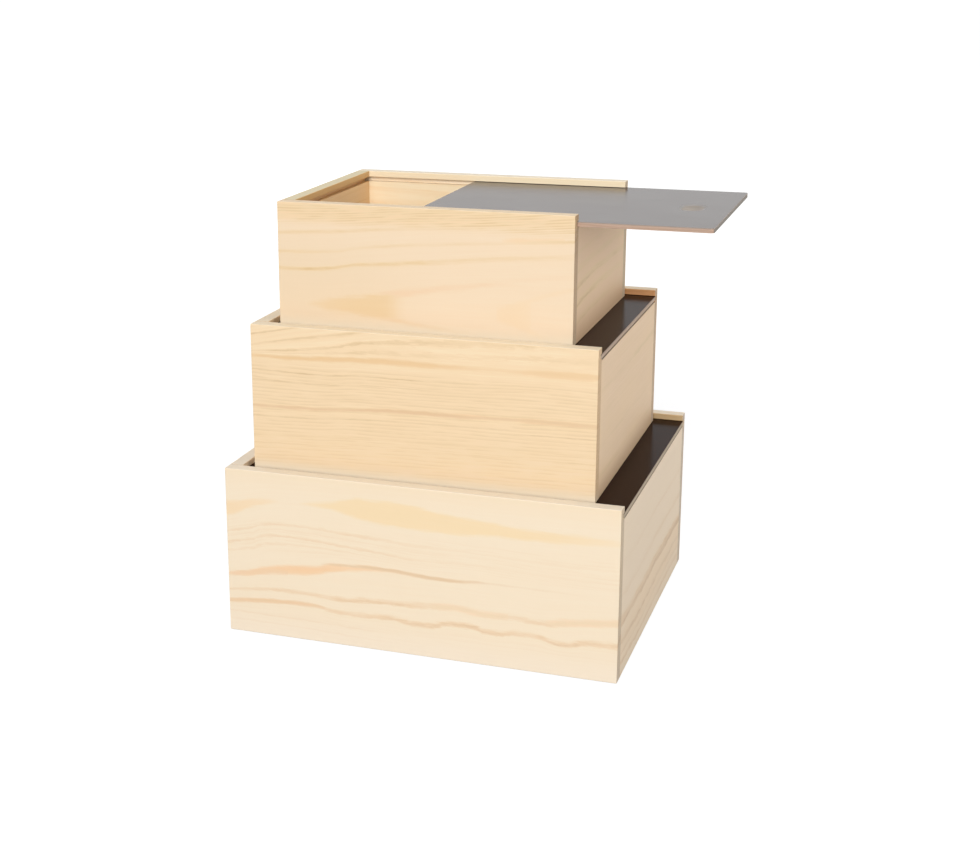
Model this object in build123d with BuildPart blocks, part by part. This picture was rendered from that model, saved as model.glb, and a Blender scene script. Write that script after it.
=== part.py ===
from build123d import *
from collections import namedtuple
import os

# Three pine boxes of one design in three sizes, stacked, each with a dark lid that slides in grooves.
# Millimetres, +Z up. The origin is the centre of the large box's underside. The lids slide out
# towards +X, and -Y is the front.

# Outside of the large box
large_length = 360.0
large_width = 300.0
large_height = 156.0

# Room left around a smaller box when it stands inside the rim of the box below, or is nested in it
room_closed_end = 6.0
room_open_end = 16.0
room_front = 13.0
room_back = 7.0
room_above = 7.0

# Boards
wall = 12.0
bottom_board = 5.0
edge_round = 0.8

# Rabbet that the bottom panel sits in, level with the underside
rabbet_depth = 6.0
bottom_play = 0.3

# Lid: a thin board under a dark sheet, in a groove under the rim
lip = 6.0
lid_board = 3.2
lid_sheet = 0.8
groove_depth = 5.0
lid_side_play = 0.5
lid_end_play = 0.5
lid_top_play = 0.4
open_end_gap = 1.5
lid_corner_round = 3.0
small_lid_drawn_out = 113.0

# Thumb scoop in the lid: a shallow trough with rounded ends, near the lid's outer end. Its place is a
# share of the lid's length, and in the two larger lids that puts it under the box standing there.
scoop_across = 22.0
scoop_along = 34.0
scoop_place = 0.13
scoop_floor = 1.8

# Dowels that hold the corner joints, in the end walls' end grain
dowel_diameter = 6.0
dowel_in_long_wall = 8.0
dowel_in_end_wall = 18.0
dowel_glue_gap = 0.05
dowel_hole_extra = 1.0
dowel_margin = 18.0
dowels_per_corner = 3

lid_thickness = lid_board + lid_sheet
lid_in_wall = groove_depth - lid_side_play
lid_in_end = groove_depth - lid_end_play
bottom_in_wall = rabbet_depth - bottom_play

Crate = namedtuple("Crate", "name left front foot length width height lid_out")


def crate_above(name, below, lid_out):
    # The next smaller box: it fits inside the one below, and stands on that box's lid
    return Crate(
        name=name,
        left=below.left + wall + room_closed_end,
        front=below.front + wall + room_front,
        foot=below.foot + below.height - lip,
        length=below.length - 2 * wall - room_closed_end - room_open_end,
        width=below.width - 2 * wall - room_front - room_back,
        height=below.height - bottom_board - lid_thickness - lip - room_above,
        lid_out=lid_out,
    )


large = Crate("large", -large_length / 2, -large_width / 2, 0.0, large_length, large_width, large_height, 0.0)
medium = crate_above("medium", large, 0.0)
small = crate_above("small", medium, small_lid_drawn_out)


def right(crate):
    return crate.left + crate.length


def back(crate):
    return crate.front + crate.width


def middle_y(crate):
    return crate.front + crate.width / 2


def lid_underside(crate):
    return crate.foot + crate.height - lip - lid_thickness


def groove_height():
    return lid_thickness + lid_top_play


def dowel_heights(crate):
    # Evenly spread between the bottom panel and the lid groove
    low = crate.foot + bottom_board + dowel_margin
    high = lid_underside(crate) - dowel_margin
    step = (high - low) / (dowels_per_corner - 1)
    return [low + i * step for i in range(dowels_per_corner)]


def write(part, label):
    part.label = label
    export_step(part, f"parts/{label}.step")
    print(f"{label:24s} {part.volume / 1000:9.1f} cm3")


def make_long_wall(crate, side):
    # Front (side -1) or back (side 1) board, the full length of the box, with the end walls inside it
    outer_y = middle_y(crate) + side * crate.width / 2
    inner_y = outer_y - side * wall
    board_y = (outer_y + inner_y) / 2
    with BuildPart() as long_wall:
        with BuildSketch(Plane.XY.offset(crate.foot)):
            with Locations((crate.left + crate.length / 2, board_y)):
                Rectangle(crate.length, wall)
        extrude(amount=crate.height)

        # Soft edges, but not where the end walls and the bottom panel meet the inner face
        rim = long_wall.edges().group_by(Axis.Z)[-1]
        foot = long_wall.edges().group_by(Axis.Z)[0].sort_by(Axis.Y)
        corners = long_wall.edges().filter_by(Axis.Z).sort_by(Axis.Y)
        if side < 0:
            fillet(rim + foot[:3] + corners[:2], edge_round)
        else:
            fillet(rim + foot[1:] + corners[2:], edge_round)

        # Lid groove: stopped behind the closed end wall, open at the other end
        groove_start = crate.left + wall - groove_depth
        with BuildSketch(Plane.YZ.offset(groove_start)):
            with Locations((inner_y, lid_underside(crate) + groove_height() / 2)):
                Rectangle(2 * groove_depth, groove_height())
        extrude(amount=right(crate) - groove_start, mode=Mode.SUBTRACT)

        # Rabbet for the bottom panel, stopped so that it stays hidden behind the ends
        rabbet_start = crate.left + wall - rabbet_depth
        rabbet_end = right(crate) - wall + rabbet_depth
        with BuildSketch(Plane.YZ.offset(rabbet_start)):
            with Locations((inner_y, crate.foot)):
                Rectangle(2 * rabbet_depth, 2 * bottom_board)
        extrude(amount=rabbet_end - rabbet_start, mode=Mode.SUBTRACT)

        # Blind dowel holes in the inner face, at both ends
        with BuildSketch(Plane.XZ.offset(-inner_y)):
            for x in (crate.left + wall / 2, right(crate) - wall / 2):
                with Locations(*[(x, z) for z in dowel_heights(crate)]):
                    Circle(dowel_diameter / 2 + dowel_glue_gap)
        extrude(amount=-side * (dowel_in_long_wall + dowel_hole_extra), mode=Mode.SUBTRACT)
    return long_wall.part


def make_end_wall(crate, closed):
    # Board between the long walls. The closed end reaches the rim, and the open end stops below the lid.
    outer_x = crate.left if closed else right(crate)
    inward = 1 if closed else -1
    inner_x = outer_x + inward * wall
    height = crate.height if closed else crate.height - lip - lid_thickness - open_end_gap
    with BuildPart() as end_wall:
        with BuildSketch(Plane.XY.offset(crate.foot)):
            with Locations(((outer_x + inner_x) / 2, middle_y(crate))):
                Rectangle(wall, crate.width - 2 * wall)
        extrude(amount=height)
        rim = end_wall.edges().group_by(Axis.Z)[-1].filter_by(Axis.Y)
        foot = end_wall.edges().group_by(Axis.Z)[0].filter_by(Axis.Y).sort_by(Axis.X)
        fillet(rim + (foot[:1] if closed else foot[1:]), edge_round)

        if closed:
            with BuildSketch(Plane.XZ.offset(-crate.front - wall)):
                with Locations((inner_x, lid_underside(crate) + groove_height() / 2)):
                    Rectangle(2 * groove_depth, groove_height())
            extrude(amount=-(crate.width - 2 * wall), mode=Mode.SUBTRACT)

        with BuildSketch(Plane.XZ.offset(-crate.front - wall)):
            with Locations((inner_x, crate.foot)):
                Rectangle(2 * rabbet_depth, 2 * bottom_board)
        extrude(amount=-(crate.width - 2 * wall), mode=Mode.SUBTRACT)

        for joint_y, into_end in ((crate.front + wall, -1), (back(crate) - wall, 1)):
            with BuildSketch(Plane.XZ.offset(-joint_y)):
                with Locations(*[((outer_x + inner_x) / 2, z) for z in dowel_heights(crate)]):
                    Circle(dowel_diameter / 2 + dowel_glue_gap)
            extrude(amount=into_end * (dowel_in_end_wall + dowel_hole_extra), mode=Mode.SUBTRACT)
    return end_wall.part


def make_corner_dowels(crate):
    with BuildPart() as corner_dowels:
        for joint_y, into_end in ((crate.front + wall, -1), (back(crate) - wall, 1)):
            start_y = joint_y + into_end * dowel_in_long_wall
            with BuildSketch(Plane.XZ.offset(-start_y)):
                for x in (crate.left + wall / 2, right(crate) - wall / 2):
                    with Locations(*[(x, z) for z in dowel_heights(crate)]):
                        Circle(dowel_diameter / 2)
            extrude(amount=into_end * (dowel_in_long_wall + dowel_in_end_wall))
    return corner_dowels.part


def make_bottom_panel(crate):
    with BuildPart() as bottom_panel:
        with BuildSketch(Plane.XY.offset(crate.foot)):
            with Locations((crate.left + crate.length / 2, middle_y(crate))):
                Rectangle(
                    crate.length - 2 * wall + 2 * bottom_in_wall,
                    crate.width - 2 * wall + 2 * bottom_in_wall,
                )
        extrude(amount=bottom_board)
    return bottom_panel.part


def make_lid_layer(crate, underside, thickness):
    # One layer of the lid, with its outer corners rounded and its share of the thumb scoop cut away
    inner_end = crate.left + wall - lid_in_end + crate.lid_out
    outer_end = right(crate) + crate.lid_out
    lid_width = crate.width - 2 * wall + 2 * lid_in_wall
    lid_top = lid_underside(crate) + lid_thickness
    scoop_depth = lid_thickness - scoop_floor
    scoop_radius = ((scoop_across / 2) ** 2 + scoop_depth**2) / (2 * scoop_depth)
    scoop_axis_z = lid_top - scoop_depth + scoop_radius
    scoop_x = outer_end - scoop_place * (outer_end - inner_end)
    straight = scoop_along - scoop_across
    with BuildPart() as lid_layer:
        with BuildSketch(Plane.XY.offset(underside)) as outline:
            with Locations(((inner_end + outer_end) / 2, middle_y(crate))):
                Rectangle(outer_end - inner_end, lid_width)
            fillet(outline.vertices().group_by(Axis.X)[-1], lid_corner_round)
        extrude(amount=thickness)
        with Locations((scoop_x, middle_y(crate), scoop_axis_z)):
            Cylinder(scoop_radius, straight, rotation=(90, 0, 0), mode=Mode.SUBTRACT)
        with Locations(
            (scoop_x, middle_y(crate) - straight / 2, scoop_axis_z),
            (scoop_x, middle_y(crate) + straight / 2, scoop_axis_z),
        ):
            Sphere(scoop_radius, mode=Mode.SUBTRACT)
    return lid_layer.part


os.makedirs("parts", exist_ok=True)
for crate in (large, medium, small):
    write(make_long_wall(crate, -1), f"{crate.name}_front_wall")
    write(make_long_wall(crate, 1), f"{crate.name}_back_wall")
    write(make_end_wall(crate, True), f"{crate.name}_closed_end_wall")
    write(make_end_wall(crate, False), f"{crate.name}_open_end_wall")
    write(make_bottom_panel(crate), f"{crate.name}_bottom_panel")
    write(make_corner_dowels(crate), f"{crate.name}_corner_dowels")
    board_underside = lid_underside(crate)
    write(make_lid_layer(crate, board_underside, lid_board), f"{crate.name}_lid_board")
    write(make_lid_layer(crate, board_underside + lid_board, lid_sheet), f"{crate.name}_lid_top_sheet")
    print(f"{crate.name}: {crate.length:.0f} x {crate.width:.0f} x {crate.height:.0f} mm")
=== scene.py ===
# Three pine boxes with dark sliding lids, stacked, the top lid drawn out.
import math
import random

import bpy
from mathutils import Matrix, Vector


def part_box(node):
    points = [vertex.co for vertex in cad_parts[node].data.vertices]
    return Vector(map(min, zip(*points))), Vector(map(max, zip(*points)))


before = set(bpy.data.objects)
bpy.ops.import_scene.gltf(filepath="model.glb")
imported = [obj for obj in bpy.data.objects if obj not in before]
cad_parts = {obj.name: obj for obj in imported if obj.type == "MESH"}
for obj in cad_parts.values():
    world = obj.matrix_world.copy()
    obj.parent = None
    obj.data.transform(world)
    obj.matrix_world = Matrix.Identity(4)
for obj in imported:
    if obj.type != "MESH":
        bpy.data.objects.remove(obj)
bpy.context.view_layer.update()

print("frame loaded with", len(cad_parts), "pieces")


camera = {
    "place": (0.4316, -1.4023, 0.6167),
    "turn": 19.537,    # degrees to the left of straight on
    "down": 15.370,    # degrees below level
    "roll": -0.463,
    "lens": 59.846,
    "sensor": 36,
    "shift": (0.0918, -0.0464),    # the photograph was framed off the lens's middle
    "clip": (0.05, 60),
}

eye = bpy.data.cameras.new("camera")
eye.lens = camera["lens"]
eye.sensor_width = camera["sensor"]
eye.shift_x, eye.shift_y = camera["shift"]
eye.clip_start, eye.clip_end = camera["clip"]
cameraObject = bpy.data.objects.new("camera", eye)
bpy.context.collection.objects.link(cameraObject)
cameraObject.matrix_world = (
    Matrix.Translation(camera["place"])
    @ Matrix.Rotation(math.radians(camera["turn"]), 4, "Z")
    @ Matrix.Rotation(math.radians(90 - camera["down"]), 4, "X")
    @ Matrix.Rotation(math.radians(camera["roll"]), 4, "Z")
)
bpy.context.scene.camera = cameraObject
bpy.context.scene.view_settings.view_transform = "Standard"
print("camera set")


def paint(red, green, blue):
    # a colour as a paint chart gives it, 0 to 255, turned into the light values that Blender mixes
    def light(part):
        part /= 255
        return part / 12.92 if part <= 0.04045 else ((part + 0.055) / 1.055) ** 2.4
    return (light(red), light(green), light(blue), 1.0)


class Wire:
    # an output of a node: sums written with it add the Math nodes
    def __init__(self, graph, socket):
        self.graph = graph
        self.socket = socket

    def math(self, operation, *values):
        return self.graph.node("ShaderNodeMath", {"operation": operation}, dict(enumerate(values)))

    def __add__(self, other):
        return self.math("ADD", self, other)

    def __sub__(self, other):
        return self.math("SUBTRACT", self, other)

    def __rsub__(self, other):
        return self.math("SUBTRACT", other, self)

    def __mul__(self, other):
        return self.math("MULTIPLY", self, other)

    def __truediv__(self, other):
        return self.math("DIVIDE", self, other)

    def __pow__(self, other):
        return self.math("POWER", self, other)

    __radd__ = __add__
    __rmul__ = __mul__

    def root(self):
        return self.math("SQRT", self)

    def size(self):
        return self.math("ABSOLUTE", self)

    def part(self):
        return self.math("FRACT", self)

    def larger(self, other):
        return self.math("MAXIMUM", self, other)

    def smaller(self, other):
        return self.math("MINIMUM", self, other)

    def ease(self, low, high):
        # 0 below low, 1 above high, smooth between
        settings = {"interpolation_type": "SMOOTHSTEP"}
        values = {"Value": self, "From Min": low, "From Max": high}
        return self.graph.node("ShaderNodeMapRange", settings, values)

    def teeth(self, sharp, drop=0.92):
        # one ring for each whole number: it darkens up to the drop, then falls to the next one's pale wood
        tooth = self.part()
        return tooth ** sharp * (1 - tooth.ease(drop, 1.0))


class Graph:
    # the nodes of one material or of the world
    def __init__(self, tree):
        self.tree = tree
        tree.nodes.clear()

    def node(self, kind, settings=None, values=None, output=0):
        made = self.tree.nodes.new(kind)
        for name, value in (settings or {}).items():
            if name == "stops":
                ramp = made.color_ramp
                while len(ramp.elements) < len(value):
                    ramp.elements.new(0.5)
                for element, (position, colour) in zip(ramp.elements, value):
                    element.position = position
                    element.color = colour
            elif name == "curve":
                points = made.mapping.curves[0].points
                while len(points) < len(value):
                    points.new(0.5, 0.5)
                for point, place in zip(points, value):
                    point.location = place
                made.mapping.update()
            else:
                setattr(made, name, value)
        for name, value in (values or {}).items():
            socket = made.inputs[name]
            if isinstance(value, Wire):
                self.tree.links.new(value.socket, socket)
            else:
                socket.default_value = value
        return Wire(self, made.outputs[output])

    def split(self, vector):
        node = self.node("ShaderNodeSeparateXYZ", None, {"Vector": vector}).socket.node
        return [Wire(self, output) for output in node.outputs]

    def join(self, x, y, z):
        return self.node("ShaderNodeCombineXYZ", None, {"X": x, "Y": y, "Z": z})

    def place(self):
        # where a point lies on its piece, in metres
        return self.split(self.node("ShaderNodeTexCoord", output="Object"))

    def facing(self):
        # which way the surface points there
        return self.split(self.node("ShaderNodeTexCoord", output="Normal"))

    def noise(self, vector, detail=2.0, roughness=0.5):
        values = {"Vector": vector, "Scale": 1.0, "Detail": detail, "Roughness": roughness}
        return self.node("ShaderNodeTexNoise", None, values)

    def ramp(self, value, *stops):
        return self.node("ShaderNodeValToRGB", {"stops": stops}, {"Fac": value})

    def mix(self, factor, first, second, blend="MIX"):
        # the Mix node's sockets share names, so its colour ones go by number
        settings = {"data_type": "RGBA", "blend_type": blend, "clamp_factor": True}
        return self.node("ShaderNodeMix", settings, {0: factor, 6: first, 7: second}, 2)

    def line(self, along, points, length):
        # a smooth line through given points: (distance along the board, value)
        values = [value for _, value in points]
        low, high = min(values), max(values)
        span = max(high - low, 1e-6)
        curve = [(min(max(place / length, 0), 1), (value - low) / span) for place, value in points]
        shape = self.node("ShaderNodeFloatCurve", {"curve": curve}, {"Value": along / length})
        return shape * span + low

    def close(self, surface):
        output = self.tree.nodes.new("ShaderNodeOutputMaterial")
        self.tree.links.new(surface.socket, output.inputs["Surface"])

    def skin(self, colour, rough, relief, ridge, ior):
        # the closing shader: relief is its height map, and the ridge is the bump's strength and depth
        strength, depth = ridge
        bump = self.node("ShaderNodeBump", None, {"Strength": strength, "Distance": depth, "Height": relief})
        values = {"Base Color": colour, "Roughness": rough, "Normal": bump, "IOR": ior}
        self.close(self.node("ShaderNodeBsdfPrincipled", None, values))


def newMaterial(name):
    material = bpy.data.materials.new(name)
    material.use_nodes = True
    return material, Graph(material.node_tree)


def finishWith(node, material):
    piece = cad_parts[node]
    if not piece.material_slots:
        piece.data.materials.append(material)
    for slot in piece.material_slots:
        slot.material = material


studio = {
    "floorSize": 60.0,
    "floorDrop": 0.0003,
    "floorColour": paint(156, 156, 156),
    "glowNear": 0.80,           # what the camera sees on top of the lit floor, so that it reads white
    "glowFar": 0.95,
    "glowReach": (0.5, 2.2),    # metres from the middle between which near turns to far
    "skyOnObject": 0.22,
    "roomGlow": 1.0,            # the white room as the lids mirror it
    "lamps": [
        # name, place, aim, size, power
        ("key", (0.45, -4.60, 2.20), (0.0, 0.0, 0.2), 2.3, 196.0),
        ("side", (2.60, 0.45, 0.95), (0.1, 0.0, 0.2), 2.0, 23.0),
        ("top", (0.10, 0.20, 2.70), (0.0, 0.0, 0.2), 1.6, 11.0),
        ("back", (-2.40, 2.30, 0.42), (0.0, 0.0, 0.2), 0.8, 50.0),
    ],
    # a narrow lamp high on the right, aimed straight down: the floor throws its light up at the end walls
    "bounce": {"place": (1.30, 0.05, 2.0), "cone": 50.0, "blend": 0.5, "size": 0.25, "power": 230.0},
}
white = (1, 1, 1, 1)


def whiteRoom(graph):
    # two masks: what the camera sees straight or through glass, and what it sees mirrored
    rays = graph.node("ShaderNodeLightPath").socket.node.outputs
    names = ("Is Camera Ray", "Is Glossy Ray", "Is Transmission Ray")
    seen, mirrored, through = [Wire(graph, rays[name]) for name in names]
    return seen.larger(through), mirrored


half = studio["floorSize"] / 2
drop = -studio["floorDrop"]
corners = [(-half, -half, drop), (half, -half, drop), (half, half, drop), (-half, half, drop)]
floorMesh = bpy.data.meshes.new("floor")
floorMesh.from_pydata(corners, [], [(0, 1, 2, 3)])
floorObject = bpy.data.objects.new("floor", floorMesh)
bpy.context.collection.objects.link(floorObject)
floorMaterial, g = newMaterial("floor")
seen, mirrored = whiteRoom(g)
x, y, _ = g.place()
away = (x * x + y * y).root().ease(*studio["glowReach"])
near, far = studio["glowNear"], studio["glowFar"]
strength = seen.larger(mirrored) * (away * (far - near) + near)
matt = g.node("ShaderNodeBsdfDiffuse", None, {"Color": studio["floorColour"]})
glow = g.node("ShaderNodeEmission", None, {"Color": white, "Strength": strength})
g.close(g.node("ShaderNodeAddShader", None, {0: matt, 1: glow}))
floorMesh.materials.append(floorMaterial)

world = bpy.data.worlds.new("studio")
bpy.context.scene.world = world
world.use_nodes = True
g = Graph(world.node_tree)
seen, mirrored = whiteRoom(g)
strength = seen + (1 - seen) * (mirrored * studio["roomGlow"] + (1 - mirrored) * studio["skyOnObject"])
sky = g.node("ShaderNodeBackground", None, {"Color": white, "Strength": strength})
worldOut = g.tree.nodes.new("ShaderNodeOutputWorld")
g.tree.links.new(sky.socket, worldOut.inputs["Surface"])


def addLamp(name, kind, place, power):
    lamp = bpy.data.lights.new(name, kind)
    lamp.energy = power
    lampObject = bpy.data.objects.new(name, lamp)
    bpy.context.collection.objects.link(lampObject)
    lampObject.location = place
    return lamp, lampObject


for name, place, aim, size, power in studio["lamps"]:
    lamp, lampObject = addLamp(name, "AREA", place, power)
    lamp.shape = "SQUARE"
    lamp.size = size
    lampObject.rotation_mode = "QUATERNION"
    lampObject.rotation_quaternion = (Vector(aim) - Vector(place)).to_track_quat("-Z", "Y")

bounce = studio["bounce"]
lamp, _ = addLamp("bounce", "SPOT", bounce["place"], bounce["power"])
lamp.spot_size = math.radians(bounce["cone"])
lamp.spot_blend = bounce["blend"]
lamp.shadow_soft_size = bounce["size"]
print("studio lit")


# A board is cut from a solid of growth rings. Its ring height is measured in millimetres down from the
# rim, and the guides bend it: each guide is one ring followed along the board. Where the board is
# flat sawn, the heart of the tree runs behind it, and rings close into tongues and islands over it.

pineFinish = {
    # each noise's length, height and depth in millimetres, how far the seed shifts it, detail, roughness
    "noises": {
        "wave": (85, 38, 38, 1, 1.0, 0.5),
        "ripple": (26, 9, 12, 1, 1.0, 0.5),
        "nick": (11, 1.9, 6, 4, 2.0, 0.6),
        "ragged": (17, 2.6, 9, 2, 3.0, 0.6),
        "uneven": (48, 5, 20, 3, 2.0, 0.5),
        "drift": (60, 14, 14, 1, 1.0, 0.5),
        "broken": (30, 1.3, 9, 7, 2.0, 0.5),      # its height counts in ring spacings
        "fibre": (34, 0.42, 0.42, 1, 2.0, 0.6),
        "streak": (110, 2.6, 4, 5, 2.0, 0.5),
        "cloud": (70, 30, 30, 9, 2.0, 0.5),
        "canal": (7, 0.33, 0.33, 11, 1.0, 0.5),
    },
    # nothing shows below the first value, and all above the second: of a noise, and of a face that is turned
    # up (top, and the low end walls' tops that take painted shade) or endways (end)
    "unevenShows": (0.30, 0.66),
    "brokenShows": (0.32, 0.62),
    "canalShows": (0.70, 0.80),
    "poreShows": (0.35, 0.75),
    "topShows": (0.35, 0.85),
    "slitShadeShows": (0.5, 0.9),
    "endShows": (0.55, 0.9),
    "raggedSwing": 1.4,
    "driftSwing": 0.9,
    "ringDrop": 0.93,
    "reachSoft": 4,                # millimetres to each side over which close rings begin and end
    "patchDepth": (1, 9),          # millimetres into the board over which a patch fades
    "patchStreaks": 0.5,           # how far the streaks break up a patch
    "ramp": (0.12, 0.55),          # where plain and late stand between pale and deep
    "darker": 0.10,                # added to all the wood, on its way from pale to deep
    "canalDark": 0.35,
    "poreSize": 0.35,
    "poreDark": 0.4,
    "rimFigure": 0.35,             # what the planed rim keeps of the figure
    "rimCover": 0.8,
    "slitShadeTone": (128, 98, 70),      # painted shade on the low end walls' top edges, in the slit under the lids
    "slitShadeCover": 0.85,
    "groove": (250, 238, 216),     # painted shade in the lid groove
    # millimetres from the outer face, or down from the rim, between which each of these begins or ends
    "grooveFloor": (6.6, 6.9),
    "grooveTop": (5.3, 5.5),
    "grooveFoot": (10.1, 10.3),
    "innerFace": (11.2, 11.9),
    "lipFoot": (6.0, 6.6),
    "roughness": 0.56,
    "rougher": {"fibre": 0.14, "rings": -0.08, "ends": 0.15},
    "relief": {"fibre": 0.6, "rings": 0.5, "pores": 0.6},
    "ridge": (0.35, 0.00012),      # the bump's strength, and its depth in metres
    "ior": 1.45,
}


def boardPlace(graph, node, rim, side):
    # millimetres along the board, down from the rim and in from the outer face, and the board's length
    low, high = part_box(node)
    x, y, z = graph.place()
    if side in ("front", "back"):
        along, length = x - low.x, high.x - low.x
        into = y - low.y if side == "front" else high.y - y
    else:
        along, length = y - low.y, high.y - low.y
        into = high.x - x if side == "open" else x - low.x
    return along * 1000, (rim - z) * 1000, into * 1000, length * 1000


ringRise = {"place": 0.4, "share": 0.8}    # at this share of the soft edge, a ring is this dark already
ringsPerRamp = 7                           # a ramp holds 32 stops, and a ring takes four


def ringBands(graph, distance, rings):
    # each ring: (distance, soft edge before, soft edge after, darkness)
    strongest = None
    rings = sorted(rings)
    for first in range(0, len(rings), ringsPerRamp):
        group = rings[first:first + ringsPerRamp]
        low = group[0][0] - group[0][1] - 1
        high = group[-1][0] + group[-1][2] + 1
        marks = [(low, 0)]
        for place, before, after, dark in group:
            marks += [
                (place - before, 0),
                (place - ringRise["place"] * before, ringRise["share"] * dark),
                (place, dark),
                (place + after, 0),
            ]
        stops = []
        position = 0.0
        for mark, dark in marks:
            position = max(position, (mark - low) / (high - low))    # a stop never stands before the last
            stops.append((position, (dark, dark, dark, 1)))
        ramp = graph.ramp((distance - low) / (high - low), *stops)
        strongest = ramp if strongest is None else strongest.larger(ramp)
    return strongest


def pineBoard(node, rim, side, board):
    material, g = newMaterial(node)
    along, down, into, length = boardPlace(g, node, rim, side)
    facing = g.facing()
    finish = pineFinish
    seed = board["seed"]

    def noise(name, across, spacing=1):
        long, tall, deep, shift, detail, roughness = finish["noises"][name]
        vector = g.join(along / long + seed * shift, across / (tall * spacing), into / deep)
        return g.noise(vector, detail, roughness)

    # height within the tree: the guides are straightened, and what lies between them follows
    guides = board["guides"]
    lines = [g.line(along, points, length) for _, points in guides]
    height = (down - lines[0]).smaller(0) + guides[0][0]
    for i in range(len(guides) - 1):
        gap = guides[i + 1][0] - guides[i][0]
        between = ((down - lines[i]) / (lines[i + 1] - lines[i])).larger(0).smaller(1)
        height = height + between * gap
    height = height + (down - lines[-1]).larger(0)

    # gentle waves, long along the grain
    swing, quiver = board["waves"]
    height = height + (noise("wave", down) - 0.5) * swing + (noise("ripple", down) - 0.5) * quiver

    if "heart" in board:
        behind = g.line(along, board["depth"], length) - into
        across = height - board["heart"]
        distance = (across * across + behind * behind).root()
    else:
        distance = height + into * board["tilt"]

    # small nicks in the rings' edges
    distance = distance + (noise("nick", down) - 0.5) * board["nicks"]

    # the figure: groups of rings, each stronger or weaker along the board
    ragged = noise("ragged", down) - 0.5
    late = None
    for strength, rings in board["figure"]:
        group = ringBands(g, distance, rings) * g.line(along, strength, length)
        late = group if late is None else late.larger(group)
    uneven = noise("uneven", distance).ease(*finish["unevenShows"])
    late = late * (uneven * (1 - board["fade"]) + board["fade"]) * (ragged * finish["raggedSwing"] + 1)

    # close rings, broken up along their length
    for layer in board["close"]:
        follow = distance if layer["follow"] == "rings" else height
        drift = noise("drift", follow) * finish["driftSwing"]
        edge = (follow / layer["spacing"] + drift).teeth(layer["sharp"], finish["ringDrop"])
        broken = noise("broken", follow, layer["spacing"]).ease(*finish["brokenShows"])
        top, bottom = layer["reach"]
        soft = finish["reachSoft"]
        where = down.ease(top - soft, top + soft) * (1 - down.ease(bottom - soft, bottom + soft))
        late = late.larger(where * layer["tint"] + edge * broken * where * layer["dark"])

    # dark wood of a ring lying flat in the face: the patch's middle line, half its thickness, its strength
    patches = []
    for patch in board.get("patches", []):
        names = ("middle", "half", "strength")
        middle, thick, strength = [g.line(along, patch[name], length) for name in names]
        beyond = (down - middle).size() - thick + ragged * patch["ragged"]
        inside = 1 - beyond.ease(-0.6 * patch["soft"], patch["soft"])
        patches.append((inside * strength * (1 - into.ease(*finish["patchDepth"])), patch["colour"]))

    # fibres, and resin canals as short dark lines
    fibre = noise("fibre", height)
    streak = noise("streak", height)
    canal = noise("canal", height).ease(*finish["canalShows"]) * finish["canalDark"]

    # the lid groove, and the planed rim, which shows little figure; the rim tone also reaches over the
    # rounded edge, where it is painted shade that damps the edge's highlight
    groove = (
        into.ease(*finish["grooveFloor"]) * down.ease(*finish["grooveTop"])
        * (1 - down.ease(*finish["grooveFoot"]))
    )
    planedAndShaded = facing[2].size().ease(*finish["topShows"]) * (1 - groove)
    late = late * (1 - planedAndShaded * (1 - finish["rimFigure"]))

    # the colour: rings and fibres on a ramp, then the broad tones over it
    dark = late + (streak - 0.5) * board["streaks"] + (fibre - 0.5) * board["fibres"]
    dark = dark + canal * board["fibres"]
    places = (0.0, *finish["ramp"], 1.0)
    tones = [paint(*board[name]) for name in ("pale", "plain", "late", "deep")]
    colour = g.ramp(dark + finish["darker"], *zip(places, tones))
    colour = g.mix((noise("cloud", down) - 0.35) * board["clouds"], colour, paint(*board["cloud"]))
    streaked = streak * finish["patchStreaks"] + (1 - finish["patchStreaks"] / 2)
    for amount, tone in patches:
        colour = g.mix(amount * (1 - planedAndShaded) * streaked, colour, paint(*tone), "DARKEN")
    # painted light near the foot of a wall, lifting the shade there; the end walls take a darker foot tone,
    # painted shade
    foot, amount, reach = board["foot"]
    fromFoot = board["tall"] - down
    colour = g.mix((1 - fromFoot.ease(0, reach)) * amount, colour, paint(*foot))

    # the rim tone: the planed wood's own greyer tone on the rim top, and painted shade over the rounded edge
    colour = g.mix(planedAndShaded * finish["rimCover"], colour, paint(*board["rim"]))
    # painted shade in the lid groove, multiplied in
    colour = g.mix(groove, colour, paint(*board.get("groove", finish["groove"])), "MULTIPLY")
    # painted shade: darker inner faces of the walls, and a darker inner face of the lip above the lid
    innerFace = into.ease(*finish["innerFace"])
    if "lip" in board:
        lip = innerFace * (1 - down.ease(*finish["lipFoot"])) * (1 - planedAndShaded)
        colour = g.mix(lip, colour, paint(*board["lip"]), "MULTIPLY")
    if "inside" in board:
        colour = g.mix(innerFace, colour, paint(*board["inside"]), "MULTIPLY")

    # end grain drinks more light, and shows pores
    endways = facing[0] if side in ("front", "back") else facing[1]
    ended = endways.size().ease(*finish["endShows"])
    pores = g.noise(g.join(down / finish["poreSize"], into / finish["poreSize"], seed), 2.0, 0.7)
    shade = paint(*[255 * part for part in board["endGrain"]])
    soaked = pores.ease(*finish["poreShows"]) * finish["poreDark"] + (1 - finish["poreDark"])
    colour = g.mix(ended, colour, g.mix(soaked, colour, shade, "MULTIPLY"))

    # painted shade on the open end wall's top edge, which lies in the slit under the lid
    if side == "open":
        slitShade = facing[2].ease(*finish["slitShadeShows"]) * finish["slitShadeCover"]
        colour = g.mix(slitShade, colour, paint(*finish["slitShadeTone"]))

    more = finish["rougher"]
    rough = finish["roughness"] + (fibre - 0.5) * more["fibre"] + late * more["rings"] + ended * more["ends"]
    tall = finish["relief"]
    relief = late * tall["rings"] + fibre * tall["fibre"] - canal + ended * pores * tall["pores"]
    g.skin(colour, rough, relief, finish["ridge"], finish["ior"])
    finishWith(node, material)


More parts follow.
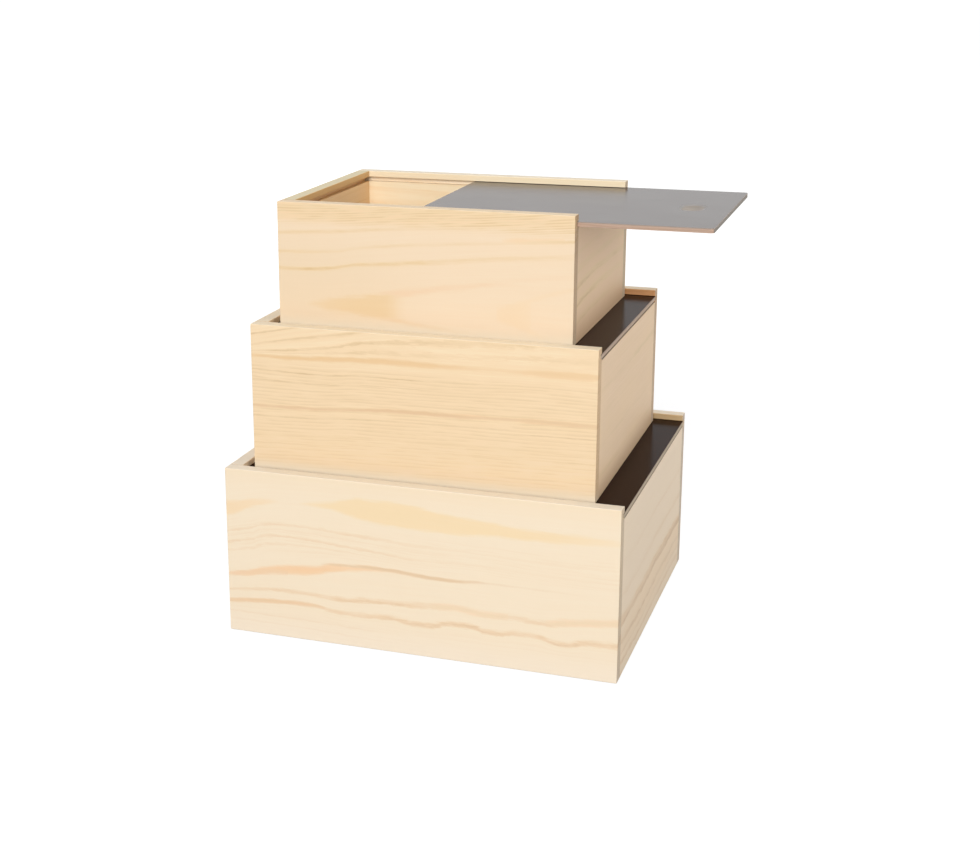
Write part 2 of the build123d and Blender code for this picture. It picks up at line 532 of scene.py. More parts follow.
def ordinaryRings(seed, start, stop, spacing, dark):
    # growth rings for a board with no figure drawn by hand, uneven as years are
    dice = random.Random(seed)
    rings = []
    place = start
    while place < stop:
        before = spacing * dice.uniform(0.3, 0.6)
        after = spacing * dice.uniform(0.08, 0.16)
        rings.append((place, before, after, dark * dice.uniform(0.5, 1.1)))
        place += spacing * dice.uniform(0.6, 1.5)
    return rings


# One box's wood. Pale, plain, late and deep run from its early wood to its darkest ring, cloud is the tone
# of broad soft patches, and the foot tone is painted light near the foot of a wall, lifting the shade there.
# Clouds, streaks and fibres are strengths, fade is what the faintest stretch of a ring keeps, endGrain is
# the share of each colour that the ends keep, and nicks and tall are in millimetres.
largeColours = {
    "pale": (252, 236, 210), "plain": (251, 232, 204), "late": (243, 215, 180), "deep": (227, 194, 155),
    "cloud": (250, 228, 196), "clouds": 0.4, "streaks": 0.12, "fibres": 0.12, "fade": 0.6,
    "endGrain": (0.82, 0.79, 0.76), "foot": (250, 234, 210), "tall": 156, "rim": (240, 228, 209),
    "nicks": 4.0,
}

# One board's figure, in millimetres. A guide is a ring height and the ring's line, (along, down). A group in
# the figure is its strength along the board, and its rings: (height, soft edge before, soft edge after,
# darkness). The foot is painted light near the foot of the wall: a tone, its amount and its reach. Close
# rings fill the board between two depths.
largeFront = dict(
    largeColours,
    foot=((252, 236, 214), 0.7, 34),
    seed=1.7, waves=(1.0, 0.6),
    guides=[
        (0, [(0, 5), (50, 0), (180, 0), (360, 0)]),
        (28, [
            (0, 39), (25, 31), (50, 26), (82, 25), (140, 25), (200, 28), (260, 31), (310, 31), (360, 29),
        ]),
        (64, [
            (0, 71), (25, 66), (50, 60), (75, 60), (105, 62), (150, 65), (185, 67), (230, 65), (330, 68),
            (360, 67),
        ]),
        (84, [
            (0, 102), (20, 98), (45, 90), (60, 87), (85, 82), (105, 79), (150, 79), (240, 79), (300, 79),
            (360, 78),
        ]),
        (108, [
            (0, 116), (25, 113), (50, 111), (75, 111), (105, 113), (130, 111), (165, 109), (200, 107),
            (225, 106), (245, 109), (270, 108), (290, 110), (310, 107), (330, 104), (360, 101),
        ]),
        (121, [
            (0, 127), (25, 124), (50, 122), (75, 121), (100, 124), (130, 125), (150, 124), (170, 126),
            (185, 127), (205, 123), (225, 121), (240, 124), (255, 125), (270, 122), (290, 122), (310, 127),
            (330, 123), (360, 122),
        ]),
        (135, [(0, 136), (50, 136), (100, 137), (165, 138), (360, 138)]),
        (156, [(0, 154), (50, 153), (150, 157), (360, 158)]),
    ],
    tilt=0.3,
    figure=[
        (
            [(0, 0.9), (60, 1.0), (150, 0.8), (230, 0.35), (360, 0.25)],
            [(52.0, 2.6, 1.1, 0.38), (57.0, 1.8, 0.8, 0.18), (63.5, 2.6, 1.1, 0.38), (69.0, 1.6, 0.8, 0.2)],
        ),
        (
            [
                (0, 0.8), (60, 0.8), (130, 0.95), (170, 1.0), (215, 0.7), (262, 0.6), (285, 0.8),
                (330, 0.55), (360, 0.6),
            ],
            [(108.8, 3.8, 1.8, 0.58)],
        ),
        (
            [
                (0, 1.5), (60, 1.1), (110, 1.1), (150, 0.95), (180, 1.3), (240, 1.25), (290, 0.8),
                (320, 1.1), (360, 1.0),
            ],
            [(122.0, 4.0, 1.9, 0.64)],
        ),
        (
            [(0, 1.0), (120, 0.8), (165, 0.3), (190, 0.0), (360, 0.0)],
            [(136.0, 2.2, 1.0, 0.32), (145.5, 2.2, 1.0, 0.3), (151.0, 2.0, 1.0, 0.14)],
        ),
    ],
    patches=[
        {
            "colour": (252, 223, 184), "soft": 3.0, "ragged": 5.2,
            "middle": [(0, 38), (10, 36), (25, 30.5), (35, 28.5), (47, 26.5)],
            "half": [(0, 6.5), (10, 5.0), (25, 3.0), (38, 2.0), (50, 0.0)],
            "strength": [(0, 0.95), (30, 0.8), (48, 0.4), (58, 0.0)],
        },
        {
            "colour": (253, 225, 183), "soft": 3.0, "ragged": 5.2,
            "middle": [
                (82, 25.3), (100, 24.7), (120, 24.3), (135, 25.5), (165, 26.3), (200, 29), (225, 30),
                (250, 29.7), (270, 31), (330, 30.5),
            ],
            "half": [
                (70, -1), (84, 0.6), (100, 2.6), (110, 4.6), (120, 6.8), (135, 9.2), (165, 10.0),
                (200, 8.3), (225, 7.0), (250, 5.0), (270, 4.2), (300, 3.8), (335, 3.0), (360, 1.5),
            ],
            "strength": [
                (70, 0.0), (84, 0.8), (130, 1.0), (200, 1.0), (250, 1.0), (290, 0.9), (330, 0.65),
                (360, 0.35),
            ],
        },
        {
            "colour": (252, 215, 175), "soft": 2.6, "ragged": 4.2,
            "middle": [
                (0, 100.5), (15, 99), (25, 96.5), (50, 91), (75, 89), (88, 87), (100, 83.5), (112, 82),
                (125, 80.5), (150, 79), (175, 79.7),
            ],
            "half": [
                (0, 0.4), (15, 1.2), (25, 2.0), (50, 2.8), (75, 3.8), (88, 3.4), (100, 3.2), (112, 2.2),
                (125, 1.6), (150, 1.2), (180, 0.6),
            ],
            "strength": [(0, 0.5), (25, 1.0), (130, 1.0), (160, 0.6), (190, 0.0)],
        },
        {
            "colour": (247, 213, 176), "soft": 2.2, "ragged": 3.4,
            "middle": [(0, 101), (10, 99.5), (25, 97), (40, 94.5), (55, 93.5), (65, 94.5)],
            "half": [(0, 0.6), (25, 1.8), (40, 1.8), (60, 1.0)],
            "strength": [(0, 0.5), (18, 0.9), (45, 0.9), (72, 0.0)],
        },
        {
            "colour": (254, 210, 166), "soft": 2.4, "ragged": 3.0,
            "middle": [(50, 90.5), (75, 88.5), (92, 86), (105, 83)],
            "half": [(45, 0.2), (60, 0.8), (80, 1.4), (100, 0.6)],
            "strength": [(45, 0.0), (62, 0.6), (85, 0.7), (108, 0.0)],
        },
        {
            "colour": (251, 229, 197), "soft": 16.0, "ragged": 6.0,
            "middle": [(0, -6), (360, -6)],
            "half": [(0, 12), (360, 12)],
            "strength": [(0, 0.6), (360, 0.9)],
        },
        {
            "colour": (244, 209, 170), "soft": 1.8, "ragged": 3.4,
            "middle": [(0, 127), (25, 124.3), (50, 122.3), (75, 121.4), (95, 123)],
            "half": [(0, 0.8), (20, 1.6), (60, 1.2), (95, 0.3)],
            "strength": [(0, 0.8), (60, 0.9), (95, 0.0)],
        },
        {
            "colour": (252, 221, 186), "soft": 2.6, "ragged": 4.6,
            "middle": [(190, 108), (215, 106), (240, 108.5), (265, 107.5)],
            "half": [(190, 1.0), (215, 2.2), (250, 2.0)],
            "strength": [(192, 0.0), (208, 0.8), (250, 0.8), (270, 0.0)],
        },
        {
            "colour": (253, 221, 186), "soft": 2.6, "ragged": 4.6,
            "middle": [(295, 109), (312, 107), (332, 104.5), (360, 101)],
            "half": [(295, 0.8), (325, 2.4), (360, 2.0)],
            "strength": [(296, 0.0), (312, 0.9), (360, 0.9)],
        },
        {
            "colour": (236, 206, 169), "soft": 1.4, "ragged": 2.6,
            "middle": [(100, 80), (125, 79), (150, 78.5), (175, 79.7), (212, 81), (240, 79.3), (300, 79.5)],
            "half": [(100, 0.4), (130, 1.0), (175, 1.3), (212, 1.1), (240, 0.6), (300, 0.3)],
            "strength": [(90, 0.0), (110, 0.8), (150, 1.0), (230, 1.0), (250, 0.4), (300, 0.2), (340, 0.0)],
        },
    ],
    close=[
        {"follow": "height", "spacing": 3.6, "sharp": 1.8, "reach": (46, 74), "tint": 0.0, "dark": 0.14},
        {"follow": "height", "spacing": 4.0, "sharp": 1.8, "reach": (128, 170), "tint": 0.01, "dark": 0.12},
    ],
)

mediumColours = {
    "pale": (252, 230, 194), "plain": (249, 221, 182), "late": (235, 206, 163), "deep": (218, 183, 138),
    "cloud": (246, 215, 173), "clouds": 0.4, "streaks": 0.28, "fibres": 0.22, "fade": 0.3,
    "endGrain": (0.87, 0.82, 0.77), "foot": (252, 234, 204), "tall": 134, "rim": (241, 227, 201),
    "nicks": 1.7,
}

mediumFront = dict(
    mediumColours,
    foot=((255, 240, 214), 0.8, 13),
    seed=4.1, waves=(0.8, 0.5),
    guides=[
        (9.5, [(0, 9.5), (42, 1), (80, -8), (140, -24), (314, -60)]),
        (19.5, [(0, 19.5), (32, 12.5), (65, 7), (100, 1), (140, -8), (200, -20), (314, -40)]),
        (24, [
            (0, 24.5), (37, 22), (60, 19), (82, 15.5), (100, 11), (120, 9), (160, 6), (212, 3), (314, -2),
        ]),
        (26, [(0, 26.0), (50, 23.5), (100, 20), (122, 18), (155, 18), (200, 15.5), (280, 12), (314, 11)]),
        (28.5, [(0, 28.5), (67, 27.5), (120, 26), (175, 25), (314, 24.5)]),
        (41, [(0, 41), (67, 42), (100, 40), (175, 39.5), (270, 36.5), (314, 37)]),
        (74, [(0, 74.5), (50, 73.5), (100, 70), (170, 68), (200, 67.5), (240, 67), (280, 66), (314, 65.5)]),
        (134, [(0, 134), (100, 130), (200, 127), (314, 124)]),
    ],
    tilt=0.35,
    figure=[
        (
            [(0, 1.0), (100, 0.9), (314, 0.5)],
            [(9.5, 1.6, 0.8, 0.6), (19.5, 1.6, 0.8, 0.6), (24.0, 0.9, 0.5, 0.56), (26.0, 0.6, 0.4, 0.44)],
        ),
        ([(0, 1.0), (50, 0.7), (90, 0.3), (314, 0.2)], [(28.6, 1.2, 0.7, 0.44)]),
        (
            [(0, 1.2), (120, 1.3), (180, 0.7), (314, 0.4)],
            [(41.0, 1.4, 0.7, 0.68), (50.0, 1.4, 0.8, 0.46), (57.2, 1.4, 0.8, 0.32)],
        ),
        ([(0, 1.0), (50, 0.4), (85, 0.9), (314, 0.2)], [(74.6, 1.4, 0.8, 0.5)]),
        (
            [(0, 1.1), (110, 1.1), (200, 0.85), (314, 1.0)],
            [
                (64.5, 1.6, 0.8, 0.34), (83.5, 1.6, 0.9, 0.46), (93.0, 1.6, 0.8, 0.34),
                (101.5, 1.4, 0.8, 0.38), (109.0, 1.4, 0.8, 0.4), (117.0, 1.4, 0.8, 0.34),
                (124.0, 1.4, 0.8, 0.26),
            ],
        ),
        ([(0, 0.0), (225, 0.0), (245, 0.8), (290, 1.0), (314, 0.6)], [(86.6, 1.0, 0.6, 0.6)]),
    ],
    patches=[
        {
            "colour": (240, 204, 156), "soft": 2.0, "ragged": 3.6,
            "middle": [
                (0, 28.5), (30, 28.5), (67, 27), (90, 26), (120, 25), (180, 24.8), (230, 24.5), (265, 24.2),
                (314, 24),
            ],
            "half": [
                (0, 0.8), (30, 1.3), (50, 1.6), (90, 2.0), (150, 2.2), (180, 1.4), (230, 1.0), (265, 2.0),
                (300, 2.4), (314, 1.8),
            ],
            "strength": [(0, 0.8), (50, 1.0), (90, 1.0), (170, 0.9), (230, 0.45), (265, 0.7), (314, 0.6)],
        },
        {
            "colour": (244, 217, 181), "soft": 24.0, "ragged": 8.0,
            "middle": [(0, 122), (314, 116)],
            "half": [(0, 20), (314, 20)],
            "strength": [(0, 0.7), (314, 0.9)],
        },
        {
            "colour": (234, 199, 157), "soft": 1.8, "ragged": 3.6,
            "middle": [
                (0, 74.5), (50, 73.5), (75, 72.3), (100, 70.6), (120, 69.3), (150, 68), (200, 67.8),
                (230, 66.5), (314, 66),
            ],
            "half": [
                (0, 0.5), (25, 0.9), (50, 1.1), (75, 0.6), (100, 0.6), (120, 1.1), (185, 1.3), (230, 0.8),
                (270, 1.3), (314, 0.9),
            ],
            "strength": [(0, 0.9), (60, 0.9), (150, 1.0), (240, 0.8), (314, 0.8)],
        },
        {
            "colour": (250, 210, 165), "soft": 2.4, "ragged": 3.0,
            "middle": [(245, 24.4), (314, 24)],
            "half": [(245, 0.6), (290, 1.8), (314, 1.2)],
            "strength": [(248, 0.0), (275, 0.9), (298, 0.9), (314, 0.2)],
        },
        {
            "colour": (246, 206, 162), "soft": 1.6, "ragged": 2.0,
            "middle": [(180, 67.8), (230, 66.4), (314, 66)],
            "half": [(180, 0.5), (275, 1.2), (314, 0.4)],
            "strength": [(180, 0.6), (205, 0.6), (230, 0.0), (262, 0.9), (282, 0.9), (300, 0.0)],
        },
    ],
    close=[
        {"follow": "height", "spacing": 3.3, "sharp": 1.5, "reach": (34, 150), "tint": 0.04, "dark": 0.4},
    ],
)

smallColours = {
    "pale": (247, 226, 197), "plain": (246, 221, 189), "late": (238, 209, 164), "deep": (224, 190, 140),
    "cloud": (244, 214, 178), "clouds": 0.35, "streaks": 0.12, "fibres": 0.12, "fade": 0.5,
    "endGrain": (0.76, 0.7, 0.64), "foot": (252, 234, 208), "tall": 112, "rim": (244, 220, 186),
    "nicks": 1.7,
}

smallFront = dict(
    smallColours,
    foot=((255, 238, 208), 0.9, 14),
    seed=8.3, waves=(0.9, 0.4),
    guides=[
        (0, [(0, -2), (75, -5), (150, -11), (268, -20)]),
        (28, [(0, 28), (50, 24.5), (100, 20), (150, 17), (268, 8)]),
        (44, [(0, 44.5), (50, 42), (75, 38), (125, 32), (150, 30), (200, 27), (225, 25), (268, 22)]),
        (59, [
            (0, 59), (40, 58.5), (60, 55.5), (75, 52.5), (100, 51), (125, 48), (150, 46), (200, 40),
            (225, 38), (268, 34),
        ]),
        (90, [(0, 91), (75, 90), (110, 88), (200, 86), (268, 86)]),
        (112, [(0, 112), (75, 112), (150, 110), (200, 110), (268, 112)]),
    ],
    tilt=0.3,
    figure=[
        ([(0, 1.0), (60, 1.0), (140, 0.5), (268, 0.3)], [(28.0, 2.6, 2.0, 0.46)]),
        ([(0, 1.0), (120, 0.7), (200, 0.5), (250, 1.0), (268, 0.9)], [(44.2, 2.8, 2.2, 0.44)]),
        ([(0, 1.4), (60, 1.0), (110, 0.8), (268, 0.4)], [(59.2, 3.0, 2.2, 0.62)]),
    ],
    patches=[
        {
            "colour": (249, 214, 172), "soft": 5.0, "ragged": 5.0,
            "middle": [(0, 3), (150, 2), (268, 1)],
            "half": [(0, 12), (150, 11), (268, 9)],
            "strength": [(0, 0.85), (130, 0.8), (268, 0.6)],
        },
        {
            "colour": (242, 217, 183), "soft": 26.0, "ragged": 8.0,
            "middle": [(0, 76), (268, 76)],
            "half": [(0, 34), (268, 30)],
            "strength": [(0, 0.9), (50, 0.8), (110, 0.35), (150, 0.0)],
        },
        {
            "colour": (239, 208, 163), "soft": 3.8, "ragged": 7.8,
            "middle": [(30, 90), (60, 89), (85, 88.5), (112, 87)],
            "half": [(20, -3), (35, 1.0), (50, 4.5), (70, 6.5), (85, 8.5), (100, 10.0), (115, 11.5)],
            "strength": [(24, 0.0), (42, 0.7), (60, 0.9), (94, 1.0), (104, 0.8), (113, 0.25), (120, 0.0)],
        },
        {
            "colour": (244, 213, 177), "soft": 3.4, "ragged": 6.2,
            "middle": [
                (95, 80), (110, 76.5), (130, 72.5), (150, 69), (180, 65), (200, 61.5), (225, 57), (268, 51),
            ],
            "half": [(90, 2.0), (110, 2.6), (130, 1.8), (180, 1.2), (268, 0.8)],
            "strength": [(88, 0.0), (104, 1.0), (150, 0.85), (190, 0.7), (215, 0.3), (268, 0.3)],
        },
        {
            "colour": (242, 212, 173), "soft": 2.8, "ragged": 5.2,
            "middle": [(92, 95), (110, 99.5), (125, 102), (150, 104.5), (180, 108), (210, 112)],
            "half": [(90, 2.0), (110, 1.4), (150, 0.9), (210, 0.6)],
            "strength": [(84, 0.0), (104, 1.0), (160, 0.8), (190, 0.4), (215, 0.0)],
        },
        {
            "colour": (246, 218, 181), "soft": 4.0, "ragged": 6.2,
            "middle": [(205, 88), (268, 88)],
            "half": [(200, 4.0), (215, 8.5), (222, 10.0), (235, 12)],
            "strength": [(200, 0.0), (210, 0.8), (222, 0.7), (232, 0.0)],
        },
        {
            "colour": (249, 219, 183), "soft": 3.2, "ragged": 6.2,
            "middle": [(215, 80), (228, 75), (245, 69), (268, 62)],
            "half": [(210, 1.5), (268, 0.8)],
            "strength": [(208, 0.0), (222, 0.7), (268, 0.4)],
        },
        {
            "colour": (249, 219, 183), "soft": 3.2, "ragged": 6.2,
            "middle": [(215, 94), (228, 100), (245, 107), (268, 114)],
            "half": [(210, 1.5), (268, 0.8)],
            "strength": [(208, 0.0), (222, 0.7), (268, 0.4)],
        },
        {
            "colour": (249, 215, 175), "soft": 2.6, "ragged": 5.2,
            "middle": [(200, 24), (245, 22.5), (268, 21)],
            "half": [(200, 0.4), (235, 1.6), (260, 1.0)],
            "strength": [(205, 0.0), (235, 1.0), (255, 0.9), (268, 0.3)],
        },
    ],
    close=[
        {"follow": "height", "spacing": 2.3, "sharp": 1.1, "reach": (-8, 17), "tint": 0.05, "dark": 0.8},
    ],
)

# the end walls' foot tones are darker: painted shade towards the bottom of each end face
largeEnd = dict(
    largeColours,
    foot=((232, 208, 180), 0.3, 10),
    seed=12.9, waves=(5.4, 3.2), nicks=7.0, clouds=0.7, streaks=0.2, pale=(252, 231, 203),
    plain=(250, 228, 199), late=(237, 207, 169), deep=(220, 185, 143),
    guides=[(0, [(0, 0), (90, 3), (170, 1), (276, 2)])],
    tilt=0.5,
    figure=[
        ([(0, 0.5), (140, 0.9), (180, 1.2), (276, 0.9)], [(52, 4.5, 1.8, 0.16), (80, 5.5, 2.4, 0.26)]),
        ([(0, 0.8), (130, 1.0), (200, 1.1), (276, 0.9)], [(106.5, 10.0, 3.0, 1.0)]),
        ([(0, 1.0), (276, 0.6)], [(124, 6.0, 2.2, 0.8), (134, 4.0, 2.0, 0.5), (143, 4.5, 2.0, 0.66)]),
    ],
    patches=[
        {
            "colour": (248, 221, 187), "soft": 9.0, "ragged": 8.0,
            "middle": [(0, 128), (140, 124), (276, 122)],
            "half": [(0, 10), (140, 13), (276, 12)],
            "strength": [(0, 0.5), (100, 0.8), (276, 0.9)],
        },
    ],
    close=[
        {"follow": "height", "spacing": 6.0, "sharp": 1.8, "reach": (100, 170), "tint": 0.04, "dark": 0.14},
    ],
)

mediumEnd = dict(
    mediumColours,
    foot=((206, 170, 132), 0.6, 24),
    seed=16.2, waves=(3.4, 1.6), clouds=1.0, streaks=0.3, pale=(249, 222, 188), plain=(246, 215, 179),
    guides=[(0, [(0, 0), (110, 2), (232, 1)])],
    tilt=0.5,
    figure=[
        ([(0, 0.8), (100, 0.6), (170, 1.3), (232, 1.0)], [(40, 6.0, 2.4, 0.42)]),
        ([(0, 1.0), (232, 0.7)], [(62, 5.0, 2.0, 0.2), (88, 5.0, 2.0, 0.24), (114, 5.0, 2.0, 0.34)]),
    ],
    close=[
        {"follow": "height", "spacing": 3.4, "sharp": 1.6, "reach": (-10, 150), "tint": 0.04, "dark": 0.07},
    ],
)

smallEnd = dict(
    smallColours,
    foot=((204, 164, 124), 0.55, 40),
    seed=21.4, waves=(4.0, 2.2), clouds=0.9, streaks=0.36, pale=(246, 217, 183), plain=(243, 211, 174),
    guides=[(0, [(0, 2), (90, -1), (188, 1)])],
    tilt=0.5,
    figure=[
        (
            [(0, 1.0), (110, 0.9), (188, 0.7)],
            [(34, 6.0, 2.6, 0.34), (48, 6.0, 2.6, 0.68), (62, 6.0, 2.6, 0.92)],
        ),
        ([(0, 1.1), (90, 1.0), (130, 0.6), (188, 0.4)], [(77, 7.0, 2.6, 0.86), (93, 6.0, 2.4, 0.6)]),
    ],
    close=[
        {"follow": "height", "spacing": 3.6, "sharp": 1.6, "reach": (-10, 120), "tint": 0.05, "dark": 0.12},
    ],
)


def plainBoard(colours, seed, length, spacing, lean):
    # a quarter-sawn board for the sides away from the front, rings running gently uphill
    height = colours["tall"]
    rings = ordinaryRings(int(seed * 10), -12, height + 12, spacing, 0.5)
    close = {"follow": "height", "spacing": spacing / 3, "sharp": 1.8, "tint": 0.03, "dark": 0.16}
    return dict(
        colours,
        foot=(colours["foot"], 0.3, 12),
        seed=seed,
        waves=(3.0, 1.0),
        guides=[(0, [(0, 0), (length * 0.45, lean * 0.7), (length, lean)])],
        tilt=0.6,
        figure=[([(0, 0.8), (length * 0.4, 1.0), (length, 0.7)], rings)],
        close=[dict(close, reach=(-10, height + 20))],
    )


def tongueBoard(colours, seed, length, heart, near, far):
    # a flat-sawn board: the heart sinks away along it, so the rings close into tongues
    height = colours["tall"]
    rings = ordinaryRings(int(seed * 10), near - 4, height + 30, 10.0, 0.5)
    close = {"follow": "rings", "spacing": 3.6, "sharp": 1.8, "tint": 0.02, "dark": 0.12}
    sink = [(0, 0), (0.4, 0.3), (0.7, 0.75), (1, 1)]    # shares of the length, and of the way to far
    return dict(
        colours,
        foot=(colours["foot"], 0.3, 12),
        seed=seed,
        waves=(2.4, 1.0),
        guides=[(0, [(0, 0), (length * 0.5, 2), (length, 0)])],
        heart=heart,
        depth=[(length * along, near + (far - near) * share) for along, share in sink],
        figure=[([(0, 0.9), (length * 0.5, 1.0), (length, 0.7)], rings)],
        close=[dict(close, reach=(-10, height + 20))],
    )


# inside, lip and groove are painted shade, multiplied into the inner faces, the lip above the lid and the
# lid groove
largeBack = dict(
    tongueBoard(largeColours, seed=31.0, length=360, heart=84, near=22, far=52),
    inside=(208, 194, 168), endGrain=(0.80, 0.79, 0.82),
)
largeClosedEnd = plainBoard(largeColours, seed=34.0, length=276, spacing=9.0, lean=5)

mediumBack = dict(
    plainBoard(mediumColours, seed=41.0, length=314, spacing=7.0, lean=-8),
    inside=(230, 193, 162), endGrain=(0.78, 0.75, 0.78),
)
mediumClosedEnd = tongueBoard(mediumColours, seed=44.0, length=232, heart=60, near=18, far=44)

# a lighter copy of the small box's wood for its back wall: painted light, which lifts the wall's inner face
# above the lid
smallColoursPaintedLight = dict(
    smallColours,
    pale=(255, 243, 220), plain=(254, 239, 212), late=(249, 226, 190), deep=(240, 212, 170),
    cloud=(252, 232, 200), rim=(253, 240, 218),
)
smallBack = dict(
    tongueBoard(smallColoursPaintedLight, seed=51.0, length=268, heart=22, near=12, far=34),
    inside=(250, 246, 236), groove=(240, 240, 242),
)
smallClosedEnd = dict(
    plainBoard(smallColours, seed=54.0, length=188, spacing=6.5, lean=-3),
    inside=(255, 240, 214), lip=(233, 222, 196), rim=(232, 219, 180), groove=(232, 212, 178),
)

boxRims = {size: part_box(size + "_front_wall")[1].z for size in ("large", "medium", "small")}
boards = [
    ("large_front_wall", "front", largeFront),
    ("large_back_wall", "back", largeBack),
    ("large_open_end_wall", "open", largeEnd),
    ("large_closed_end_wall", "closed", largeClosedEnd),
    ("medium_front_wall", "front", mediumFront),
    ("medium_back_wall", "back", mediumBack),
    ("medium_open_end_wall", "open", mediumEnd),
    ("medium_closed_end_wall", "closed", mediumClosedEnd),
    ("small_front_wall", "front", smallFront),
    ("small_back_wall", "back", smallBack),
    ("small_open_end_wall", "open", smallEnd),
    ("small_closed_end_wall", "closed", smallClosedEnd),
]
for node, side, board in boards:
    pineBoard(node, boxRims[node.split("_")[0]], side, board)
print("pine boards finished:", len(boards))


bottomPanel = {
    "pale": (246, 222, 184),
    "late": (226, 188, 140),
    "ringWidth": 17.0,
    "ringWander": 90,       # millimetres that the rings stray
    "ringSlant": 240,       # one more ring over this width
    "plyPair": 1.65,        # thickness of a light ply and a dark one, in millimetres
    "plyStart": 0.35,
    "roughness": 0.6,
    "ridge": (0.3, 0.0001),
    "ior": 1.45,
}


def plywood(name, settings, seed):
    # a rotary-cut face: broad wandering rings, since the knife follows the tree round
    material, g = newMaterial(name)
    along, across, up = [part * 1000 for part in g.place()]
    wander = g.noise(g.join(along / 190 + seed, across / 60, 0.0), 2.0, 0.45)
    rings = wander * settings["ringWander"] / settings["ringWidth"] + across / settings["ringSlant"]
    edge = rings.teeth(3.0)
    fibre = g.noise(g.join(along / 30 + seed, across / 0.5, up / 0.5), 2.0, 0.6)
    cloud = g.noise(g.join(along / 90, across / 50, seed), 2.0)
    plies = ((up / settings["plyPair"] + settings["plyStart"]).part() - 0.5).size().ease(0.2, 0.3)
    edgeOn = 1 - g.facing()[2].size().ease(0.3, 0.6)
    dark = edge * 0.5 + (fibre - 0.5) * 0.5 + (cloud - 0.5) * 0.4 + edgeOn * plies * 0.6 + 0.12
    colour = g.ramp(dark, (0.0, paint(*settings["pale"])), (1.0, paint(*settings["late"])))
    rough = settings["roughness"] + (fibre - 0.5) * 0.15
    g.skin(colour, rough, fibre + edge * 0.4, settings["ridge"], settings["ior"])
    return material


for i, size in enumerate(boxRims):
    panel = size + "_bottom_panel"
    finishWith(panel, plywood(panel, bottomPanel, 2.0 + 3.7 * i))
print("bottoms finished")


cornerDowels = {
    "pale": (226, 192, 150),
    "fleck": (190, 146, 104),
    "roughness": 0.62,
    "ridge": (0.3, 0.0001),
    "ior": 1.5,
}


def beech(name, settings):
    # straight grain along the dowel with beech's short dark flecks
    material, g = newMaterial(name)
    x, y, z = g.place()
    grain = g.noise(g.join(x * 1600, y * 60, z * 1600), 2.0, 0.6)
    fleck = g.noise(g.join(x * 2400, y * 420, z * 2400), 1.0).ease(0.62, 0.72)
    colour = g.mix(fleck * 0.7 + (grain - 0.5) * 0.5, paint(*settings["pale"]), paint(*settings["fleck"]))
    rough = settings["roughness"] + (grain - 0.5) * 0.2
    g.skin(colour, rough, grain, settings["ridge"], settings["ior"])
    return material


for size in boxRims:
    dowels = size + "_corner_dowels"
    finishWith(dowels, beech(dowels, cornerDowels))
print("dowels finished")


lidBoard = {
    "pale": (194, 164, 144),
    "late": (170, 139, 117),
    "ringWidth": 5.2,
    "ringDepth": 3.1,
    # the small lid's outer end is much darker than the others: painted shade on that end
    "outerEnd": {"large": (176, 156, 124), "medium": (178, 150, 124), "small": (110, 99, 84)},
    # the scoop's wood tone, greyed to match the lid's sheen: painted reflection
    "scoop": (153, 145, 136),
    "scoopHighlight": (169, 159, 147),    # painted highlight in the middle of the scoop
    "scoopPlace": 0.13,         # share of the lid's length from its outer end
    "scoopHighlightShift": -3,            # millimetres from the scoop's middle towards the closed end
    "scoopHighlightHalf": (8, 12),        # millimetres along the lid and across it
    "roughness": 0.5,
    "ridge": (0.35, 0.0001),
    "ior": 1.45,
}


def thinBoard(name, settings, size, seed):
    material, g = newMaterial(name)
    along, across, up = [part * 1000 for part in g.place()]
    wave = g.noise(g.join(along / 120 + seed, across / 40, up / 12), 1.0)
    rings = across / settings["ringWidth"] + wave * 3 + up / settings["ringDepth"]
    edge = rings.teeth(2.4)
    fibre = g.noise(g.join(along / 28 + seed, across / 0.4, up / 0.4), 2.0, 0.6)
    dark = edge * 0.7 + (fibre - 0.5) * 0.7 + 0.15
    colour = g.ramp(dark, (0.0, paint(*settings["pale"])), (1.0, paint(*settings["late"])))

    # the scoop is the only part of the board's top that shows
    facing = g.facing()
    low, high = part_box(name)
    middleX = (high.x - settings["scoopPlace"] * (high.x - low.x)) * 1000 + settings["scoopHighlightShift"]
    middleY = (low.y + high.y) * 500
    halfAlong, halfAcross = settings["scoopHighlightHalf"]
    fromMiddleX, fromMiddleY = (along - middleX) / halfAlong, (across - middleY) / halfAcross
    scoopHighlight = 1 - (fromMiddleX * fromMiddleX + fromMiddleY * fromMiddleY).root().ease(0.2, 1.1)
    scoop = g.mix(scoopHighlight, paint(*settings["scoop"]), paint(*settings["scoopHighlight"]))
    # the scoop's up-facing faces take the greyed wood tone, painted reflection of the lid's sheen, with a
    # painted highlight in the middle
    colour = g.mix(facing[2].ease(0.7, 0.95) * (1 - dark * 0.35), colour, scoop)
    colour = g.mix(facing[0].ease(0.75, 0.98), colour, paint(*settings["outerEnd"][size]))
    rough = settings["roughness"] + (fibre - 0.5) * 0.15
    g.skin(colour, rough, fibre + edge * 0.4, settings["ridge"], settings["ior"])
    return material


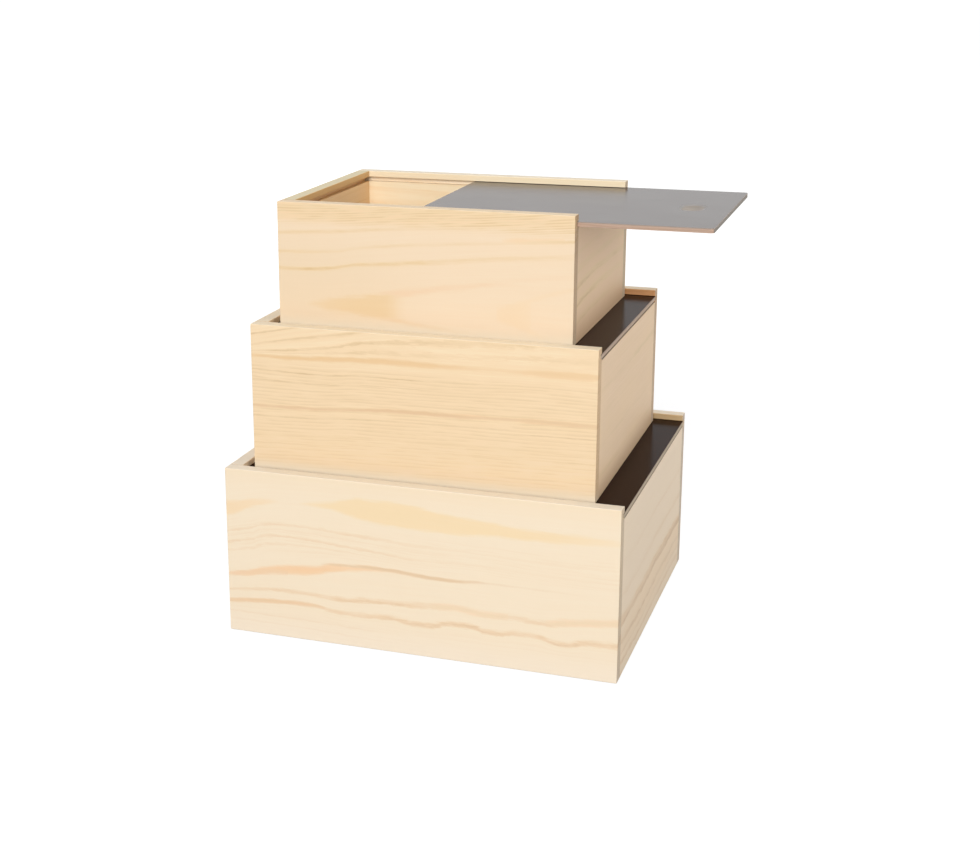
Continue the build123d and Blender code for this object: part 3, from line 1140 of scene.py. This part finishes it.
lidSheet = {
    "dark": (36, 17, 6),
    "light": (48, 26, 13),
    "cutEdge": (150, 130, 116),
    # the scoop's brim: the cut's brown on the large and medium lids; grey on the small lid, a painted
    # reflection of its sheen
    "scoopBrim": {"large": (136, 116, 100), "medium": (136, 116, 100), "small": (149, 144, 140)},
    "cutShows": (0.95, 0.995),      # how level the surface lies: all cut edge below, all top above
    "brimShows": (0.5, 0.8),        # the sheet's outer edge below, the scoop's sloping brim above
    "gloss": {"large": (0.19, 1.085), "medium": (0.19, 1.09), "small": (0.25, 1.69)},    # roughness, IOR
    "cutRougher": 0.3,
    "ridge": (0.10, 0.00002),
}


def satinSheet(name, settings, size, seed):
    # dark satin laminate: very faint lengthwise brushing, patches that hands have dulled, a brown cut edge
    material, g = newMaterial(name)
    x, y, z = g.place()
    along, across = x * 1000, y * 1000
    brushed = g.noise(g.join(along / 60 + seed, across / 0.7, z * 1000), 2.0, 0.6)
    patch = g.noise(g.join(along / 55 + seed, across / 40, 0.0), 3.0, 0.6)
    pit = g.noise(g.join(along / 0.5, across / 0.5, z * 2000), 2.0, 0.6)
    colour = g.mix(brushed * 0.6 + patch * 0.4, paint(*settings["dark"]), paint(*settings["light"]))
    flat = g.facing()[2].size()
    cut = 1 - flat.ease(*settings["cutShows"])
    brim = flat.ease(*settings["brimShows"])
    # on the small lid the scoop's brim is grey: painted reflection of the lid's sheen
    cutColour = g.mix(brim, paint(*settings["cutEdge"]), paint(*settings["scoopBrim"][size]))
    colour = g.mix(cut, colour, cutColour)
    roughness, ior = settings["gloss"][size]
    rough = (patch - 0.5) * 0.06 + (pit - 0.5) * 0.03 + cut * settings["cutRougher"] + roughness
    g.skin(colour, rough, pit + brushed * 0.3, settings["ridge"], ior)
    return material


for i, size in enumerate(boxRims):
    board, sheet = size + "_lid_board", size + "_lid_top_sheet"
    finishWith(board, thinBoard(board, lidBoard, size, 5.0 + 2.3 * i))
    finishWith(sheet, satinSheet(sheet, lidSheet, size, 7.0 + 3.1 * i))
print("lids finished")
